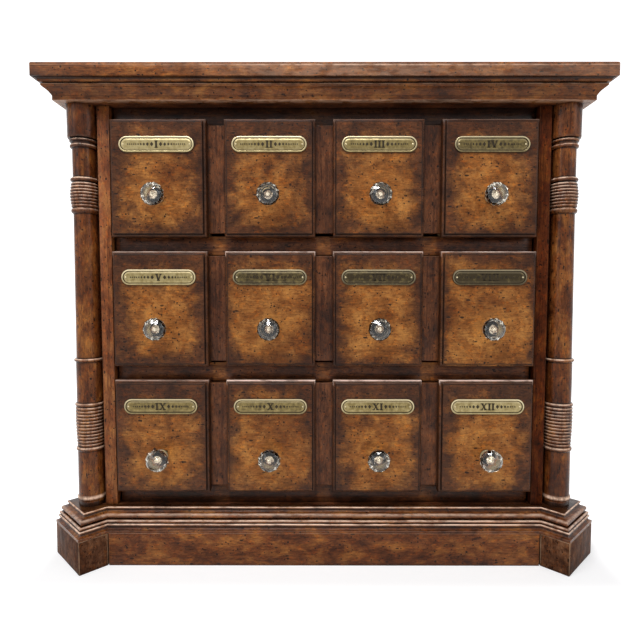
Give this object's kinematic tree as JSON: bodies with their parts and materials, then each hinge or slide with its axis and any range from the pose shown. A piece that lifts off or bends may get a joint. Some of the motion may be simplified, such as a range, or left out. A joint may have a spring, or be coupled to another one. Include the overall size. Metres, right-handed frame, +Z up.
{
  "type": "chest of drawers",
  "caption": "Low walnut chest of long drawers fronted by raised panels with label plates and glass knobs, between turned corner columns on a moulded base",
  "frame": {"origin": "middle of the footprint, on the floor", "axes": "x to the right when facing the front, y to the back, z up"},
  "size_m": [0.968, 0.48, 0.84],
  "materials": {
    "walnut": "aged waxed walnut, mottled, worn light on the edges",
    "dark_walnut": "darkened walnut with little sheen",
    "panel_walnut": "waxed walnut, lighter in the middle and dark at the edges",
    "inner_wood": "plain unpolished secondary wood",
    "aged_brass": "aged brass, dull with brighter rubbed rims",
    "cut_glass": "clear cut glass, polished facets",
    "steel": "plain steel screws"
  },
  "bodies": {
    "carcass": {"top_board": "walnut", "sub_top": "walnut", "front_cornice": "walnut", "left_cornice": "walnut", "right_cornice": "walnut", "left_column": "walnut", "right_column": "walnut", "left_post": "walnut", "right_post": "walnut", "left_side_panel": "walnut", "right_side_panel": "walnut", "back_panel": "inner_wood", "top_rail": "dark_walnut", "upper_rail": "dark_walnut", "lower_rail": "dark_walnut", "bottom_rail": "dark_walnut", "drawer_runners": "inner_wood", "drawer_stops": "inner_wood", "bottom_board": "inner_wood", "front_plinth": "walnut", "left_plinth": "walnut", "right_plinth": "walnut", "back_plinth": "inner_wood", "left_corner_block": "walnut", "right_corner_block": "walnut", "left_corner_cap": "walnut", "right_corner_cap": "walnut", "front_base_moulding": "walnut", "left_base_moulding": "walnut", "right_base_moulding": "walnut", "glue_blocks": "inner_wood", "back_screws": "steel", "top_screws": "steel"},
    "top_drawer": {"top_drawer_front": "dark_walnut", "top_drawer_panels": "panel_walnut", "top_drawer_plates": "aged_brass", "top_drawer_knobs": "cut_glass", "top_drawer_knob_mounts": "aged_brass", "top_drawer_left_side": "inner_wood", "top_drawer_right_side": "inner_wood", "top_drawer_back": "inner_wood", "top_drawer_bottom": "inner_wood"},
    "middle_drawer": {"middle_drawer_front": "dark_walnut", "middle_drawer_panels": "panel_walnut", "middle_drawer_plates": "aged_brass", "middle_drawer_knobs": "cut_glass", "middle_drawer_knob_mounts": "aged_brass", "middle_drawer_left_side": "inner_wood", "middle_drawer_right_side": "inner_wood", "middle_drawer_back": "inner_wood", "middle_drawer_bottom": "inner_wood"},
    "bottom_drawer": {"bottom_drawer_front": "dark_walnut", "bottom_drawer_panels": "panel_walnut", "bottom_drawer_plates": "aged_brass", "bottom_drawer_knobs": "cut_glass", "bottom_drawer_knob_mounts": "aged_brass", "bottom_drawer_left_side": "inner_wood", "bottom_drawer_right_side": "inner_wood", "bottom_drawer_back": "inner_wood", "bottom_drawer_bottom": "inner_wood"}
  },
  "joints": [
    {"name": "top_drawer_slide", "type": "slide", "parent": "carcass", "child": "top_drawer", "axis": [0, -1, 0], "range_m": [0, 0.3]},
    {"name": "middle_drawer_slide", "type": "slide", "parent": "carcass", "child": "middle_drawer", "axis": [0, -1, 0], "range_m": [0, 0.3]},
    {"name": "bottom_drawer_slide", "type": "slide", "parent": "carcass", "child": "bottom_drawer", "axis": [0, -1, 0], "range_m": [0, 0.3]}
  ]
}
